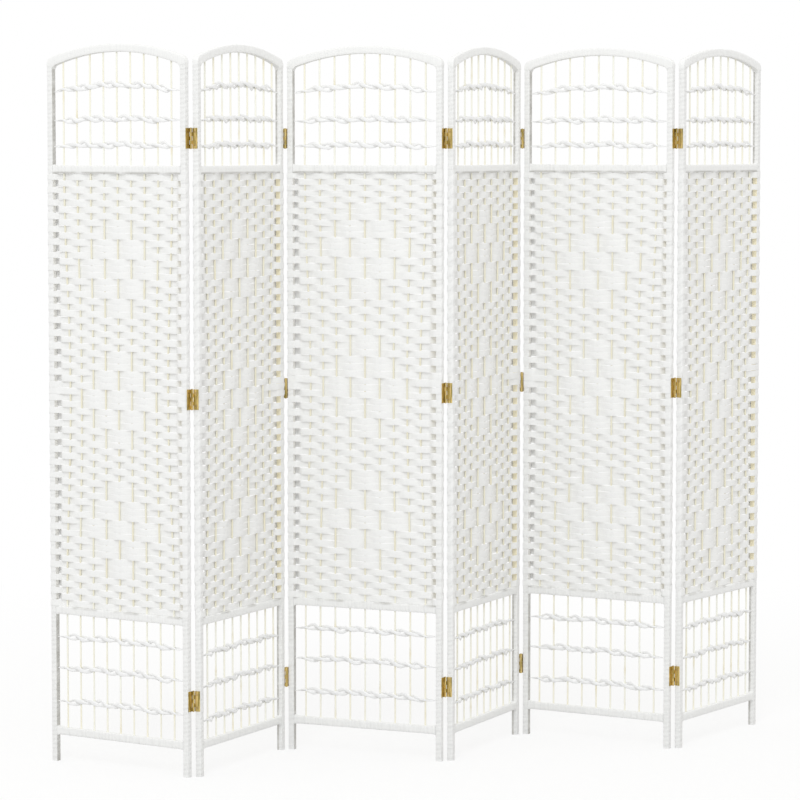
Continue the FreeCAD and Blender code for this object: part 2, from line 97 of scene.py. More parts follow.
def white_surround():
    world = bpy.data.worlds.new("white_surround")
    bpy.context.scene.world = world
    world.use_nodes = True
    tree = world.node_tree
    tree.nodes.clear()
    light = node(tree, "ShaderNodeBackground", {"Color": SURROUND_WARM, "Strength": SURROUND_LEVEL})
    backdrop = node(tree, "ShaderNodeBackground", {"Color": WHITE, "Strength": 1.0})
    mixed = node(tree, "ShaderNodeMixShader",
                 {0: seen_rays(tree), 1: light.outputs[0], 2: backdrop.outputs[0]})
    node(tree, "ShaderNodeOutputWorld", {"Surface": mixed.outputs[0]})


def pale_floor():
    bpy.ops.object.select_all(action="DESELECT")
    bpy.ops.mesh.primitive_plane_add(size=FLOOR_SIZE)
    floor = bpy.context.object
    floor.name = "floor"
    material = bpy.data.materials.new("pale_floor")
    material.use_nodes = True
    tree = material.node_tree
    tree.nodes.clear()
    matt = node(tree, "ShaderNodeBsdfDiffuse", {"Color": FLOOR_PALE})
    bounce = node(tree, "ShaderNodeBsdfDiffuse", {"Color": FLOOR_BOUNCE})
    glow = node(tree, "ShaderNodeEmission", {"Color": WHITE, "Strength": 1.0})
    place = node(tree, "ShaderNodeTexCoord").outputs["Object"]
    distance = node(tree, "ShaderNodeVectorMath", {0: place}, operation="LENGTH").outputs["Value"]
    share = spread(tree, distance, FLOOR_SHADOW_NEAR, FLOOR_SHADOW_FAR, 1 - FLOOR_SHADOW_SHARE, 1.0)
    shown = node(tree, "ShaderNodeMixShader", {0: share, 1: matt.outputs[0], 2: glow.outputs[0]})
    mixed = node(tree, "ShaderNodeMixShader",
                 {0: seen_rays(tree), 1: bounce.outputs[0], 2: shown.outputs[0]})
    node(tree, "ShaderNodeOutputMaterial", {"Surface": mixed.outputs[0]})
    floor.data.materials.append(material)


white_surround()
pale_floor()
bpy.ops.object.light_add(type="AREA", location=LAMP_PLACE)
lamp = bpy.context.object
lamp.name = "soft_lamp"
lamp.data.size = LAMP_SIZE
lamp.data.energy = LAMP_POWER
lamp.data.color = LAMP_COOL
lamp.rotation_euler = (LAMP_TARGET - LAMP_PLACE).to_track_quat("-Z", "Y").to_euler()
bpy.ops.object.camera_add(location=CAMERA_PLACE, rotation=(math.pi / 2 - CAMERA_DIP, 0, -CAMERA_TURN))
camera = bpy.context.object
camera.data.lens = CAMERA_LENS
camera.data.sensor_width = SENSOR
bpy.context.scene.camera = camera
bpy.context.scene.view_settings.view_transform = "Standard"


# Posts: two square softwood bars stand at the sides of each of the six panels.
# Each is bound from foot to top with one spiral of white paper strip, every turn lapping the one below.
# Beside the weave the inner side is left bare, so a little natural wood shows between the turned strips.
PANELS = range(1, 7)
MM = 0.001
POST = 16 * MM
POST_CORNER = 2.5 * MM
POST_TURN = 11.5 * MM
POST_LAP = 0.35 * MM
CORE_RADIUS = 10 * MM
TURN_STEPS = 24
SPARE_TURNS = 2
# The strip's section from one turn to the next: steps outwards in laps and upwards in turns.
TURN_PROFILE = ((1, 0.05), (-0.25, 0.45), (-0.75, 0.5))
MERGED_LAP_SHARE = 0.05
STEADY_END = 20 * MM
TURN_SHIFT = 0.9 * MM
TURN_SHIFT_WAVE = 47 * MM
TURN_SKEW = 0.35 * MM
TURN_SKEW_REACH = 6 * MM
TURN_SKEW_WAVE = 13 * MM
TURN_SWELL = 0.012
TURN_SWELL_WAVE = 71 * MM
# The waves of an uneven line: how fine each is, and its share.
WAVERS = ((1, 1), (2.17, 0.6), (4.31, 0.35))
POST_INTO_ARCH = 5 * MM
INNER_FACE = 0.47 * POST
BINDING_CREASE = math.radians(35)
BINDING_WHITE = (0.91, 0.91, 0.905, 1)
BINDING_GREY = (0.84, 0.84, 0.84, 1)
BINDING_ROUGHNESS = 0.6
BINDING_BUMP = 0.35
PLEAT_FINENESS = (28, 1500, 28)
BLOTCH_FINENESS = (190, 260, 190)
BLOTCH_SHARE = 0.35
PAPER_TONES = (0.36, 0.56)
PAPER_RELIEF = 0.5 * MM
BARE_WOOD = (0.95, 0.88, 0.66, 1)
# This grey is painted shade. It is laid on the posts' inner sides away from the weave and on the rails'
# edges next to the weave, and it wavers in strength along the posts.
PAINTED_SHADE_GREY = (0.50, 0.49, 0.46, 1)
PAINTED_SHADE_MEAN = 0.75
PAINTED_SHADE_WAVER = 0.25
PAINTED_SHADE_WAVE = 83 * MM


def panel_place(number):
    """Where a panel stands: x runs along it from its left side face, y to its back, z up."""
    boxes = [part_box(f"panel_{number}_{side}_post") for side in ("left", "right")]
    left, right = [(low + high) / 2 for low, high in boxes]
    along = Vector((right.x - left.x, right.y - left.y, 0)).normalized()
    back = Vector((-along.y, along.x, 0))
    start = Vector((left.x, left.y, 0)) - along * POST / 2
    return Matrix.Translation(start) @ Matrix((along, back, Vector((0, 0, 1)))).transposed().to_4x4()


def middle_of(node_name):
    low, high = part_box(node_name)
    return (low + high) / 2


PLACES = {number: panel_place(number) for number in PANELS}
PANEL_WIDTH = POST + (middle_of("panel_1_right_post") - middle_of("panel_1_left_post")).xy.length
POST_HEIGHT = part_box("panel_1_top_arch")[0].z
RAIL_HEIGHT = 20 * MM
LOWER_RAIL_TOP = 395 * MM
UPPER_RAIL_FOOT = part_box("panel_1_rails")[1].z - RAIL_HEIGHT


def only(piece):
    """Selects one object and makes it the active one."""
    bpy.ops.object.select_all(action="DESELECT")
    piece.select_set(True)
    bpy.context.view_layer.objects.active = piece


def finish_with(piece, kind, **settings):
    """Adds a modifier to a piece and applies it."""
    modifier = piece.modifiers.new(kind, kind)
    for name, value in settings.items():
        setattr(modifier, name, value)
    only(piece)
    bpy.ops.object.modifier_apply(modifier=modifier.name)


def points_of(piece):
    points = np.empty(len(piece.data.vertices) * 3)
    piece.data.vertices.foreach_get("co", points)
    return points.reshape(-1, 3)


def move_points(piece, points):
    piece.data.vertices.foreach_set("co", np.asarray(points).ravel())
    piece.data.update()


def copy_of(piece, name):
    """A copy with a mesh of its own."""
    copied = piece.copy()
    copied.data = piece.data.copy()
    copied.name = name
    bpy.context.scene.collection.objects.link(copied)
    return copied


def smooth(piece, crease):
    """Shades a piece smooth, apart from edges that turn more than the crease angle."""
    only(piece)
    bpy.ops.object.shade_smooth_by_angle(angle=crease)


def note_on_points(piece, name, values):
    """Keeps one number for each point of a piece, for its material to read."""
    layer = piece.data.attributes.new(name, "FLOAT", "POINT")
    layer.data.foreach_set("value", np.asarray(values, dtype=np.float32))


def hand_over(piece, number, name, material, slot, *replaced):
    """Stands a finished piece in its panel, gives it its material and ties it to the panel's body."""
    piece.name = f"panel_{number}_{name}"
    piece.data.transform(PLACES[number])
    piece.data.materials.clear()
    piece.data.materials.append(material)
    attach(piece, f"panel_{number}")
    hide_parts(*[f"panel_{number}_{node_name}" for node_name in replaced])


def wander(place, wavelength, seed):
    """A smooth seeded waver along a line, between -1 and 1, of waves that get finer and weaker."""
    phases = np.random.default_rng(seed).uniform(0, 2 * np.pi, len(WAVERS))
    turn = 2 * np.pi * place / wavelength
    waver = sum(share * np.sin(fineness * turn + phase) for (fineness, share), phase in zip(WAVERS, phases))
    return waver / sum(share for fineness, share in WAVERS)


def binding(length, turn, lap):
    """One spiral of paper strip about the z axis on a round core, cut level at both ends."""
    bpy.ops.object.select_all(action="DESELECT")
    bpy.ops.mesh.primitive_plane_add(size=turn)
    piece = bpy.context.object
    bpy.ops.object.mode_set(mode="EDIT")
    bpy.ops.mesh.merge(type="CENTER")
    bpy.ops.transform.translate(value=(CORE_RADIUS, 0, -SPARE_TURNS * turn))
    for outwards, upwards in TURN_PROFILE:
        step = (outwards * lap, 0, upwards * turn)
        bpy.ops.mesh.extrude_region_move(TRANSFORM_OT_translate={"value": step})
    bpy.ops.object.mode_set(mode="OBJECT")
    turns = math.ceil(length / turn) + 2 * SPARE_TURNS
    finish_with(piece, "SCREW", axis="Z", angle=2 * math.pi, screw_offset=turn, steps=TURN_STEPS,
                render_steps=TURN_STEPS, iterations=turns, use_normal_calculate=True)
    bpy.ops.object.mode_set(mode="EDIT")
    bpy.ops.mesh.select_all(action="SELECT")
    bpy.ops.mesh.remove_doubles(threshold=MERGED_LAP_SHARE * lap)
    bpy.ops.mesh.bisect(plane_co=(0, 0, 0), plane_no=(0, 0, -1), use_fill=True, clear_outer=True)
    bpy.ops.mesh.select_all(action="SELECT")
    bpy.ops.mesh.bisect(plane_co=(0, 0, length), plane_no=(0, 0, 1), use_fill=True, clear_outer=True)
    bpy.ops.mesh.select_all(action="SELECT")
    bpy.ops.mesh.normals_make_consistent(inside=False)
    bpy.ops.object.mode_set(mode="OBJECT")
    return piece


def round_to_bar(points, half_x, half_y, corner):
    """Turns the round section about z into a bar with rounded corners; laps keep their thickness.

    A third of each quarter turn goes to one face, a third to the corner and a third to the next face."""
    angle = np.arctan2(points[:, 1], points[:, 0])
    raised = np.hypot(points[:, 0], points[:, 1]) - CORE_RADIUS
    quarter = np.arctan2(np.abs(np.sin(angle)), np.abs(np.cos(angle))) / (np.pi / 2)
    round_corner = np.clip(3 * quarter - 1, 0, 1) * np.pi / 2
    x = np.minimum(3 * (1 - quarter), 1) * (half_x - corner) + (corner + raised) * np.cos(round_corner)
    y = np.minimum(3 * quarter, 1) * (half_y - corner) + (corner + raised) * np.sin(round_corner)
    return np.column_stack((x * np.sign(np.cos(angle)), y * np.sign(np.sin(angle)), points[:, 2]))


def uneven(points, length, seed):
    """Shifts the turns of a binding a little along the bar, less towards its ends, and swells some."""
    along = points[:, 2]
    free = np.clip(np.minimum(along, length - along) / STEADY_END, 0, 1)
    side = np.arctan2(points[:, 1], points[:, 0])
    shifted = along + TURN_SHIFT * free * wander(along, TURN_SHIFT_WAVE, seed)
    shifted += TURN_SKEW * free * wander(along + side * TURN_SKEW_REACH, TURN_SKEW_WAVE, seed + 1)
    swell = 1 + TURN_SWELL * wander(along, TURN_SWELL_WAVE, seed + 2)
    return np.column_stack((points[:, 0] * swell, points[:, 1] * swell, shifted))


def make_group(name, inputs, outputs):
    """An empty shader node group with the named sockets, and its input and output nodes."""
    tree = bpy.data.node_groups.new(name, "ShaderNodeTree")
    for socket, kind in inputs:
        tree.interface.new_socket(name=socket, in_out="INPUT", socket_type=kind)
    for socket, kind in outputs:
        tree.interface.new_socket(name=socket, in_out="OUTPUT", socket_type=kind)
    return tree, tree.nodes.new("NodeGroupInput"), tree.nodes.new("NodeGroupOutput")


def mix_colour(tree, factor, first, second):
    return node(tree, "ShaderNodeMix", {0: factor, 6: first, 7: second}, data_type="RGBA").outputs[2]


def noise(tree, place, stretch, detail=3.0):
    """Noise on a place in metres, with its fineness per metre along each axis."""
    scaled = node(tree, "ShaderNodeMapping", {"Vector": place, "Scale": stretch}).outputs[0]
    return node(tree, "ShaderNodeTexNoise", {"Vector": scaled, "Scale": 1.0, "Detail": detail}).outputs[0]


def mix_values(tree, share, first, second):
    return node(tree, "ShaderNodeMix", {0: share, 2: first, 3: second}).outputs[0]


def noted(tree, name):
    """The number that note_on_points has kept for each point."""
    return node(tree, "ShaderNodeAttribute", attribute_name=name).outputs["Fac"]


def pleated_paper_group():
    """Pleat hairlines along a strip and soft fibre blotches; the place has x along the strip, y across."""
    tree, given, result = make_group(
        "pleated_paper",
        [("Place", "NodeSocketVector"), ("Paper", "NodeSocketColor"), ("Shade", "NodeSocketColor")],
        [("Colour", "NodeSocketColor"), ("Height", "NodeSocketFloat")])
    pleats = noise(tree, given.outputs["Place"], PLEAT_FINENESS)
    blotches = noise(tree, given.outputs["Place"], BLOTCH_FINENESS)
    joined = mix_values(tree, BLOTCH_SHARE, pleats, blotches)
    tone = spread(tree, joined, *PAPER_TONES)
    colour = mix_colour(tree, tone, given.outputs["Shade"], given.outputs["Paper"])
    tree.links.new(colour, result.inputs["Colour"])
    tree.links.new(joined, result.inputs["Height"])
    return tree


def new_material(name):
    material = bpy.data.materials.new(name)
    material.use_nodes = True
    material.node_tree.nodes.clear()
    return material, material.node_tree


def close_material(tree, colour, height, strength, depth, **constants):
    """Ends a material in a Principled shader with a bump; constants are set on the shader's own sockets."""
    bump = node(tree, "ShaderNodeBump", {"Strength": strength, "Distance": depth, "Height": height})
    shader = node(tree, "ShaderNodeBsdfPrincipled", {"Base Color": colour, "Normal": bump.outputs[0]})
    for name, value in constants.items():
        shader.inputs[name.replace("_", " ").title()].default_value = value
    node(tree, "ShaderNodeOutputMaterial", {"Surface": shader.outputs[0]})
    return shader


PLEATED_PAPER = pleated_paper_group()


def pleated_paper(tree, place, paper_colour, shade_colour):
    """Places the pleated paper group in a material, with the material's own colours."""
    paper = node(tree, "ShaderNodeGroup", node_tree=PLEATED_PAPER)
    tree.links.new(place, paper.inputs["Place"])
    paper.inputs["Paper"].default_value = paper_colour
    paper.inputs["Shade"].default_value = shade_colour
    return paper.outputs["Colour"], paper.outputs["Height"]


def bound_frame_material():
    """White paper binding, with bare wood where the frame is left unbound, and a grey painted shade on the
    points noted for it.
    """
    material, tree = new_material("bound_frame")
    place = node(tree, "ShaderNodeSeparateXYZ", {0: node(tree, "ShaderNodeTexCoord").outputs["Object"]})
    sideways = node(tree, "ShaderNodeMath", {0: place.outputs[0], 1: place.outputs[1]}).outputs[0]
    strip_place = node(tree, "ShaderNodeCombineXYZ", {0: sideways, 1: noted(tree, "along")}).outputs[0]
    colour, relief = pleated_paper(tree, strip_place, BINDING_WHITE, BINDING_GREY)
    colour = mix_colour(tree, noted(tree, "bare"), colour, BARE_WOOD)
    colour = mix_colour(tree, noted(tree, "painted_shade"), colour, PAINTED_SHADE_GREY)
    close_material(tree, colour, relief, BINDING_BUMP, PAPER_RELIEF, roughness=BINDING_ROUGHNESS)
    return material


BOUND_FRAME = bound_frame_material()
BOUND_HEIGHT = POST_HEIGHT + POST_INTO_ARCH
# For each post: its side, the way inwards, how bare its wood is, and the depth behind which its painted
# shade shows.
POST_SIDES = (("left", 1, 0.15, -POST), ("right", -1, 1, 0.15 * POST))
bound_post = binding(BOUND_HEIGHT, POST_TURN, POST_LAP)
for number in PANELS:
    for side, inwards, bareness, painted_shade_front in POST_SIDES:
        post = copy_of(bound_post, "post")
        seed = 100 * number + 10 * inwards
        shaped = uneven(points_of(post), BOUND_HEIGHT, seed)
        shaped = round_to_bar(shaped, POST / 2 - POST_LAP / 2, POST / 2 - POST_LAP / 2, POST_CORNER)
        note_on_points(post, "along", shaped[:, 2])
        beside_weave = (shaped[:, 2] > LOWER_RAIL_TOP) & (shaped[:, 2] < UPPER_RAIL_FOOT)
        inner_side = shaped[:, 0] * inwards > INNER_FACE
        note_on_points(post, "bare", bareness * (beside_weave & inner_side))
        # Away from the weave the inner side is greyed in blotches: painted shade.
        blotches = PAINTED_SHADE_MEAN + PAINTED_SHADE_WAVER * wander(shaped[:, 2], PAINTED_SHADE_WAVE, seed + 3)
        in_painted_shade = inner_side & ~beside_weave & (shaped[:, 1] > painted_shade_front)
        note_on_points(post, "painted_shade", blotches * in_painted_shade)
        shaped[:, 0] += POST / 2 if side == "left" else PANEL_WIDTH - POST / 2
        move_points(post, shaped)
        smooth(post, BINDING_CREASE)
        hand_over(post, number, f"{side}_post_bound", BOUND_FRAME, "bound_frame", f"{side}_post")
bpy.data.objects.remove(bound_post)


# Rails: three flat wooden bars join the posts of each panel, near the floor, under the weave and over it.
# They are bound as the posts are, and a few extra turns lash their ends where they meet the posts.
RAIL_DEPTH = 14 * MM
RAIL_FEET = (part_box("panel_1_rails")[0].z, LOWER_RAIL_TOP - RAIL_HEIGHT, UPPER_RAIL_FOOT)
RAIL_LENGTH = PANEL_WIDTH - 2 * POST
RAIL_TURN = 10.5 * MM
LASHING_REACH = 13 * MM
LASHING_SWELL = 2.4 * MM
# For each rail: where the weave is (-1 above it, 1 below it, 0 apart), and how unbroken the painted shadow
# along that edge is.
RAIL_PAINTED_SHADOWS = ((0, 0), (-1, 0.2), (1, 1))
RAIL_PAINTED_SHADOW_STRENGTH = 0.65
RAIL_PAINTED_SHADOW_WIDTH = 1.2 * POST_CORNER
RAIL_PAINTED_SHADOW_WAVE = 140 * MM


def lashed(points, length):
    """Swells the ends of a rail, where extra turns of strip tie it to the posts."""
    from_end = np.minimum(points[:, 2], length - points[:, 2])
    swell = LASHING_SWELL * np.clip(1 - from_end / LASHING_REACH, 0, 1) ** 2
    return np.column_stack((points[:, 0] * (1 + swell / RAIL_HEIGHT * 2), points[:, 1], points[:, 2]))


bound_rail = binding(RAIL_LENGTH, RAIL_TURN, POST_LAP)
for number in PANELS:
    bars = []
    for row, (foot, (weave_side, unbroken)) in enumerate(zip(RAIL_FEET, RAIL_PAINTED_SHADOWS)):
        bar = copy_of(bound_rail, "rail")
        shaped = uneven(points_of(bar), RAIL_LENGTH, 700 + 10 * number + row)
        shaped = round_to_bar(shaped, RAIL_HEIGHT / 2 - POST_LAP, RAIL_DEPTH / 2 - POST_LAP, POST_CORNER)
        shaped = lashed(shaped, RAIL_LENGTH)
        note_on_points(bar, "along", shaped[:, 2])
        # The rail's edge next to the weave is greyed: a painted shadow where the rail meets the strips.
        to_weave = shaped[:, 0] * weave_side > RAIL_HEIGHT / 2 - RAIL_PAINTED_SHADOW_WIDTH
        painted_shade = np.clip(unbroken + wander(shaped[:, 2], RAIL_PAINTED_SHADOW_WAVE, 750 + 10 * number + row), 0, 1)
        note_on_points(bar, "painted_shade", RAIL_PAINTED_SHADOW_STRENGTH * painted_shade * to_weave)
        height = foot + RAIL_HEIGHT / 2 - shaped[:, 0]
        move_points(bar, np.column_stack((shaped[:, 2] + POST, shaped[:, 1], height)))
        bars.append(bar)
    only(bars[0])
    for bar in bars:
        bar.select_set(True)
    bpy.ops.object.join()
    smooth(bars[0], BINDING_CREASE)
    hand_over(bars[0], number, "rails_bound", BOUND_FRAME, "bound_frame", "rails")
bpy.data.objects.remove(bound_rail)


# Top arch: a bent wooden bar seated on both posts, its outer corners rounded over.
# It is bound with narrower turns than the posts, and their edges stand up as a row of fine ridges.
ARCH_BAR = 20 * MM
ARCH_RISE = 34 * MM
ARCH_TURN = 6.5 * MM
ARCH_LAP = 0.6 * MM
ARCH_SHOULDER = 11 * MM
ARCH_FILLET = 9 * MM
ARCH_SEAT = 0.9 * POST
PANEL_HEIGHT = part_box("panel_1_top_arch")[1].z


def arc_drop(place, half_span, rise):
    """How far an arc lies below its crown at a place from its middle."""
    radius = (half_span ** 2 + rise ** 2) / (2 * rise)
    return radius - np.sqrt(radius ** 2 - np.minimum(np.abs(place), half_span) ** 2)


def bend_to_arch(points, length):
    """Lays a straight bar, along z, into the arch: its x turns to height and its y to depth."""
    along = points[:, 2] / length * PANEL_WIDTH
    lift = points[:, 0]
    from_middle = along - PANEL_WIDTH / 2
    from_end = np.minimum(along, PANEL_WIDTH - along)
    radius = (PANEL_WIDTH / 2) ** 2 / (2 * ARCH_RISE)
    lean = from_middle / radius * np.clip((from_end - POST) / (2 * POST), 0, 1)
    along = along + lift * lean
    from_middle = along - PANEL_WIDTH / 2
    top = PANEL_HEIGHT - arc_drop(from_middle, PANEL_WIDTH / 2, ARCH_RISE)
    under = PANEL_HEIGHT - ARCH_BAR - arc_drop(from_middle, PANEL_WIDTH / 2 - POST, ARCH_RISE)
    shoulder = np.clip(ARCH_SHOULDER - from_end, 0, ARCH_SHOULDER)
    top = top - (ARCH_SHOULDER - np.sqrt(ARCH_SHOULDER ** 2 - shoulder ** 2))
    into_corner = np.clip(ARCH_FILLET + POST - from_end, 0, ARCH_FILLET)
    under = under - (ARCH_FILLET - np.sqrt(ARCH_FILLET ** 2 - into_corner ** 2)) * (from_end > ARCH_SEAT)
    share = (lift + ARCH_BAR / 2) / ARCH_BAR
    return np.column_stack((along, points[:, 1], under + share * (top - under)))


bound_arch = binding(PANEL_WIDTH, ARCH_TURN, ARCH_LAP)
for number in PANELS:
    arch = copy_of(bound_arch, "arch")
    shaped = uneven(points_of(arch), PANEL_WIDTH, 800 + 10 * number)
    shaped = round_to_bar(shaped, ARCH_BAR / 2 - ARCH_LAP, POST / 2 - ARCH_LAP / 2, POST_CORNER)
    note_on_points(arch, "along", shaped[:, 2])
    move_points(arch, bend_to_arch(shaped, PANEL_WIDTH))
    smooth(arch, BINDING_CREASE)
    hand_over(arch, number, "top_arch_bound", BOUND_FRAME, "bound_frame", "top_arch")
bpy.data.objects.remove(bound_arch)


# Sticks: nine thin round bamboo sticks stand between the bottom rail and the arch of each panel.
# They run through both other rails, and the weave draws the outer ones towards the middle.
STICK_COUNT = 9
STICK_RADIUS = 2.3 * MM
STICK_PITCH = 42 * MM
STICK_BOW = 15 * MM
STICK_BOW_POWER = 1.8
LEAST_BOW = 0.001 * MM
STICK_SOCKET = 8 * MM
STICK_FOOT = RAIL_FEET[0] + RAIL_HEIGHT - STICK_SOCKET
STICK_CREASE = math.radians(50)
STICK_SIDES = 10
STICK_RINGS = 90
KNUCKLE_SPACING = 0.23
KNUCKLE_SWELL = 0.13
KNUCKLE_REACH = 5 * MM
BAMBOO_PALE = (0.95, 0.95, 0.87, 1)
BAMBOO_TAN = (0.94, 0.905, 0.76, 1)
BAMBOO_RING = (0.82, 0.73, 0.50, 1)
# In the weave the sticks take a darker, browner colour: painted shade where they lie between the strips.
BAMBOO_WEAVE_SHADE = (0.80, 0.755, 0.58, 1)
GRAIN_FINENESS = (900, 900, 14)
STRETCH_FINENESS = (30, 30, 5)
STRETCH_SHARE = 0.5
BAMBOO_TONES = (0.40, 0.58)
RING_STRENGTH = 0.5
WEAVE_SHADE_STRENGTH = 0.6
BAMBOO_ROUGHNESS = 0.5
GRAIN_BUMP = 0.3
GRAIN_RELIEF = 0.2 * MM
WEAVE_SHADE_FADE = 20 * MM
WEAVE_HEIGHT = UPPER_RAIL_FOOT - LOWER_RAIL_TOP


def stick_place(stick):
    """Place of a stick along its panel where it leaves a rail; sticks count from 1 at the left."""
    return PANEL_WIDTH / 2 + (stick - (STICK_COUNT + 1) / 2) * STICK_PITCH


def stick_place_at(stick, height):
    """Place of a stick at a height, drawn in along four equal arcs between the rails of the weave."""
    reach = ((STICK_COUNT + 1) / 2 - stick) / ((STICK_COUNT - 1) / 2)
    bow = STICK_BOW * np.abs(reach) ** STICK_BOW_POWER
    quarter = WEAVE_HEIGHT / 4
    radius = (quarter ** 2 + bow ** 2 / 4) / np.maximum(bow, LEAST_BOW)
    from_end = np.clip(np.minimum(height - LOWER_RAIL_TOP, UPPER_RAIL_FOOT - height), 0, 2 * quarter)
    outer = radius - np.sqrt(radius ** 2 - np.minimum(from_end, quarter) ** 2)
    inner = bow - radius + np.sqrt(radius ** 2 - np.minimum(2 * quarter - from_end, quarter) ** 2)
    return stick_place(stick) + np.sign(reach) * np.where(from_end < quarter, outer, inner)


def ringed_rods(sides, radius, rings, count, spacing):
    """Upright rods of unit height side by side: one rod is cut into rings, then arrayed."""
    bpy.ops.object.select_all(action="DESELECT")
    bpy.ops.mesh.primitive_cylinder_add(vertices=sides, radius=radius, depth=1, location=(0, 0, 0.5))
    rod = bpy.context.object
    bpy.ops.object.transform_apply(location=True, rotation=True, scale=True)
    bpy.ops.object.mode_set(mode="EDIT")
    bpy.ops.mesh.select_mode(type="EDGE")
    bpy.ops.mesh.select_all(action="DESELECT")
    bpy.ops.object.mode_set(mode="OBJECT")
    for edge in rod.data.edges:
        low, high = [rod.data.vertices[end].co.z for end in edge.vertices]
        edge.select = abs(high - low) > 0.5
    bpy.ops.object.mode_set(mode="EDIT")
    bpy.ops.mesh.subdivide(number_cuts=rings - 1)
    bpy.ops.mesh.select_mode(type="VERT")
    bpy.ops.object.mode_set(mode="OBJECT")
    finish_with(rod, "ARRAY", count=count, use_relative_offset=False, use_constant_offset=True,
                constant_offset_displace=(spacing, 0, 0))
    return rod


def bamboo_material():
    """Pale bamboo rod: long grain, warmer stretches, darker rings at its joints, and a darker, browner
    painted shade where it runs between the strips of the weave.
    """
    material, tree = new_material("bamboo_stick")
    place = node(tree, "ShaderNodeTexCoord").outputs["Object"]
    grain = noise(tree, place, GRAIN_FINENESS)
    stretches = noise(tree, place, STRETCH_FINENESS, detail=1.0)
    tone = spread(tree, mix_values(tree, STRETCH_SHARE, grain, stretches), *BAMBOO_TONES)
    colour = mix_colour(tree, tone, BAMBOO_TAN, BAMBOO_PALE)
    # The knuckle rings are the bamboo's own colour; the woven tint is painted shade.
    tints = (("knuckle", RING_STRENGTH, BAMBOO_RING), ("woven", WEAVE_SHADE_STRENGTH, BAMBOO_WEAVE_SHADE))
    for name, strength, tint in tints:
        amount = node(tree, "ShaderNodeMath", {0: noted(tree, name), 1: strength}, operation="MULTIPLY")
        colour = mix_colour(tree, amount.outputs[0], colour, tint)
    close_material(tree, colour, grain, GRAIN_BUMP, GRAIN_RELIEF, roughness=BAMBOO_ROUGHNESS)
    return material


BAMBOO = bamboo_material()
straight_sticks = ringed_rods(STICK_SIDES, STICK_RADIUS, STICK_RINGS, STICK_COUNT, 1)
for number in PANELS:
    sticks = copy_of(straight_sticks, "sticks")
    shaped = points_of(sticks)
    order = np.rint(shaped[:, 0]).astype(int)
    stick = order + 1
    section = shaped[:, :2] - np.column_stack((order, np.zeros(len(order))))
    from_middle = stick_place(stick) - PANEL_WIDTH / 2
    top = PANEL_HEIGHT - ARCH_BAR - arc_drop(from_middle, PANEL_WIDTH / 2 - POST, ARCH_RISE) + STICK_SOCKET
    height = STICK_FOOT + shaped[:, 2] * (top - STICK_FOOT)
    start = np.random.default_rng(900 + number).uniform(0, KNUCKLE_SPACING, STICK_COUNT)[order]
    from_knuckle = (height + start + KNUCKLE_SPACING / 2) % KNUCKLE_SPACING - KNUCKLE_SPACING / 2
    knuckle = np.clip(1 - np.abs(from_knuckle) / (2 * KNUCKLE_REACH), 0, 1)
    section *= (1 + KNUCKLE_SWELL * knuckle)[:, None]
    place = stick_place_at(stick, height)
    into_weave = np.minimum(height - LOWER_RAIL_TOP, UPPER_RAIL_FOOT - height)
    note_on_points(sticks, "knuckle", knuckle)
    # The woven note fades the painted shade in over the first stretch inside the weave.
    note_on_points(sticks, "woven", np.clip(into_weave / WEAVE_SHADE_FADE, 0, 1))
    move_points(sticks, np.column_stack((place + section[:, 0], section[:, 1], height)))
    smooth(sticks, STICK_CREASE)
    hand_over(sticks, number, "bamboo_sticks", BAMBOO, "bamboo_stick", "sticks")
bpy.data.objects.remove(straight_sticks)


# Weave: 65 or 67 courses of pleated white paper strip fill the middle field of each panel.
# A course passes before and behind the sticks by turns, and longer floats draw three diamonds up the middle.
# At both sides the strip turns round the post and comes back as the next course.
# For each panel: its courses, where its first diamond begins, and the course that passes before both posts.
COURSE_COUNTS = (67, 67, 65, 65, 67, 65)
FIRST_DIAMONDS = (9, 9, 7, 7, 9, 9)
SPLICE_COURSES = (34, 34, 32, 32, 34, 32)
# For each panel: how far its three diamonds lie above their even places, in millimetres.
DIAMOND_DRIFTS = ((0, 0, 0), (0, 0, 0), (24, 0, 0), (6, -4, 0), (6, 5, 0), (8, 8, 10))
STRIP_WIDTH = 16 * MM
STRIP_THICKNESS = 0.8 * MM
STRIP_CLEAR = 0.7 * MM
STICK_DEPTH = STICK_RADIUS + STRIP_CLEAR
POST_DEPTH = POST / 2 + STRIP_CLEAR
DIAMOND_COUNT = 3
DIAMOND_SPACING = 20
DIAMOND_ROW = 3
DIAMOND_REACH = (1, 2, 3, 2, 1)
HINGE_HEIGHTS = (188 * MM, 932 * MM, 1568 * MM)
HINGE_HALF = 26 * MM
SPAN_STEPS = 7
FACE_STEPS = 2
STRIP_ROWS = 6
CORNER_ANGLES = np.radians((0, 30, 60))
WRAP_RISES = np.array((1, 0.7, 0.4, 0.2, 0.05))
WRAP_STEPS = len(WRAP_RISES)
STOPPED_STEP = 0.25 * MM
FLAT_SHARE = 0.14
QUICK_TURN = 0.36
FLOAT_BULGE = 0.9 * MM
EDGE_CURL = 0.4 * MM
EDGE_CURL_POWER = 3
EDGE_CURL_ON_POST = 0.2
PLEAT = 0.12 * MM
WRINKLE = 0.28 * MM
WRINKLE_WAVE = 37 * MM
WRINKLE_LIFT = 0.4
WRINKLE_TWIST = 0.6
WRINKLE_ON_POST = 0.3
ON_POST_DEPTH = 1.5 * STICK_DEPTH
EDGE_WANDER = 1.1 * MM
EDGE_WAVE = 230 * MM
LEAST_GAP = 0.2 * MM
GAP_WANDER = 0.8 * MM
GAP_WAVE = 160 * MM
RAIL_GAP = 0.3 * MM
STRIP_CREASE = math.radians(50)
STRIP_WHITE = (0.93, 0.93, 0.925, 1)
STRIP_GREY = (0.87, 0.87, 0.87, 1)
STRIP_BUMP = 0.75
STRIP_ROUGHNESS = 0.55
STRIP_APART = 0.1
LOT_FINENESS = (3, 24, 1)
